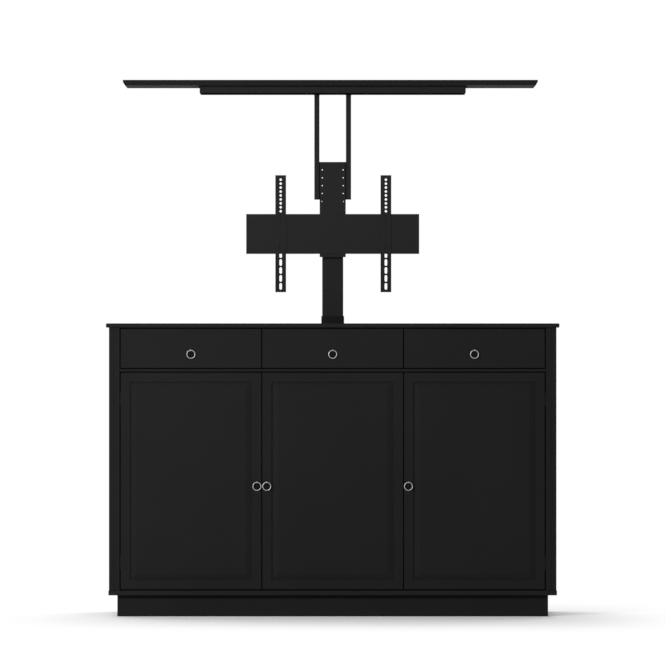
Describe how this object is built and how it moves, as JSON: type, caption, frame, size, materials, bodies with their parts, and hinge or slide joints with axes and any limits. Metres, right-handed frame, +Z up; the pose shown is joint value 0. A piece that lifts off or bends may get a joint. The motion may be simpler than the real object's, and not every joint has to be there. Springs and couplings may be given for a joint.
{
  "type": "tv lift cabinet",
  "caption": "Low wide cabinet with drawers over panelled doors, whose lift raises a screen mount and a lid through an opening in the top.",
  "frame": {"origin": "on the floor under the middle of the cabinet, on the plinth's cross member", "axes": "+Z up, -Y towards the front with the doors, +X to the right seen from the front"},
  "size_m": [1.7, 0.5823, 2.019],
  "materials": {
    "paint": "satin black paint",
    "black_melamine": "black melamine face",
    "inside_paint": "flat black paint",
    "lift_steel": "fine textured black powder coat",
    "dark_steel": "flat black coat",
    "pull_metal": "brushed bright",
    "hinge_metal": "nickel plated",
    "motor_plastic": "moulded, lightly grained"
  },
  "bodies": {
    "root": {"plinth_frame": "paint", "bottom_board": "paint", "side_panel_left": "paint", "side_panel_right": "paint", "side_lining_left": "paint", "side_lining_right": "paint", "cupboard_divider_left": "inside_paint", "cupboard_divider_right": "inside_paint", "drawer_divider_left": "inside_paint", "drawer_divider_right": "inside_paint", "drawer_deck": "paint", "bay_partition": "inside_paint", "back_panel": "paint", "top_board": "paint", "shelf_left": "inside_paint", "shelf_middle": "inside_paint", "shelf_right": "inside_paint", "lift_base": "lift_steel", "column_outer": "lift_steel", "lift_motor": "motor_plastic", "control_box": "motor_plastic", "hinge_arm_left_low": "hinge_metal", "hinge_arm_left_high": "hinge_metal", "hinge_arm_middle_low": "hinge_metal", "hinge_arm_middle_high": "hinge_metal", "hinge_arm_right_low": "hinge_metal", "hinge_arm_right_high": "hinge_metal"},
    "middle_stage": {"column_middle": "lift_steel"},
    "inner_stage": {"column_inner": "lift_steel", "column_head": "lift_steel", "spine_channel": "lift_steel", "screen_plate": "lift_steel", "screen_rail_left": "lift_steel", "screen_rail_right": "lift_steel", "lid_arm_left": "lift_steel", "lid_arm_right": "lift_steel", "lid_plate": "dark_steel", "lid_stiffener": "black_melamine", "lid": "paint"},
    "drawer_left": {"drawer_front_left": "paint", "drawer_box_left": "inside_paint", "pull_post_drawer_left": "pull_metal"},
    "door_left": {"door_left": "paint", "pull_post_door_left": "pull_metal"},
    "drawer_middle": {"drawer_front_middle": "paint", "drawer_box_middle": "inside_paint", "pull_post_drawer_middle": "pull_metal"},
    "door_middle": {"door_middle": "paint", "pull_post_door_middle": "pull_metal"},
    "drawer_right": {"drawer_front_right": "paint", "drawer_box_right": "inside_paint", "pull_post_drawer_right": "pull_metal"},
    "door_right": {"door_right": "paint", "pull_post_door_right": "pull_metal"},
    "ring_drawer_left": {"pull_ring_drawer_left": "pull_metal"},
    "ring_door_left": {"pull_ring_door_left": "pull_metal"},
    "ring_drawer_middle": {"pull_ring_drawer_middle": "pull_metal"},
    "ring_door_middle": {"pull_ring_door_middle": "pull_metal"},
    "ring_drawer_right": {"pull_ring_drawer_right": "pull_metal"},
    "ring_door_right": {"pull_ring_door_right": "pull_metal"}
  },
  "joints": [
    {"name": "lift_lower", "type": "slide", "parent": "root", "child": "middle_stage", "axis": [0, 0, 1], "range_m": [-0.4585, 0]},
    {"name": "lift_upper", "type": "slide", "parent": "middle_stage", "child": "inner_stage", "axis": [0, 0, 1], "range_m": [-0.4585, 0]},
    {"name": "drawer_slide_left", "type": "slide", "parent": "root", "child": "drawer_left", "axis": [0, -1, 0], "range_m": [0, 0.1]},
    {"name": "drawer_slide_middle", "type": "slide", "parent": "root", "child": "drawer_middle", "axis": [0, -1, 0], "range_m": [0, 0.1]},
    {"name": "drawer_slide_right", "type": "slide", "parent": "root", "child": "drawer_right", "axis": [0, -1, 0], "range_m": [0, 0.1]},
    {"name": "door_hinge_left", "type": "hinge", "parent": "root", "child": "door_left", "pos_m": [-0.7955, -0.279, 0.504], "axis": [0, 0, -1], "range_deg": [0, 95]},
    {"name": "door_hinge_middle", "type": "hinge", "parent": "root", "child": "door_middle", "pos_m": [0.264, -0.279, 0.504], "axis": [0, 0, 1], "range_deg": [0, 95]},
    {"name": "door_hinge_right", "type": "hinge", "parent": "root", "child": "door_right", "pos_m": [0.7955, -0.279, 0.504], "axis": [0, 0, 1], "range_deg": [0, 95]},
    {"name": "ring_hinge_drawer_left", "type": "hinge", "parent": "drawer_left", "child": "ring_drawer_left", "pos_m": [-0.5315, -0.2875, 0.9989], "axis": [-1, 0, 0], "range_deg": [0, 90]},
    {"name": "ring_hinge_door_left", "type": "hinge", "parent": "door_left", "child": "ring_door_left", "pos_m": [-0.284, -0.2875, 0.50375], "axis": [-1, 0, 0], "range_deg": [0, 90]},
    {"name": "ring_hinge_drawer_middle", "type": "hinge", "parent": "drawer_middle", "child": "ring_drawer_middle", "pos_m": [0, -0.2875, 0.9989], "axis": [-1, 0, 0], "range_deg": [0, 90]},
    {"name": "ring_hinge_door_middle", "type": "hinge", "parent": "door_middle", "child": "ring_door_middle", "pos_m": [-0.2475, -0.2875, 0.50375], "axis": [-1, 0, 0], "range_deg": [0, 90]},
    {"name": "ring_hinge_drawer_right", "type": "hinge", "parent": "drawer_right", "child": "ring_drawer_right", "pos_m": [0.5315, -0.2875, 0.9989], "axis": [-1, 0, 0], "range_deg": [0, 90]},
    {"name": "ring_hinge_door_right", "type": "hinge", "parent": "door_right", "child": "ring_door_right", "pos_m": [0.284, -0.2875, 0.50375], "axis": [-1, 0, 0], "range_deg": [0, 90]}
  ],
  "couplings": [
    {"joint": "lift_upper", "follows": "lift_lower", "ratio": 1}
  ]
}
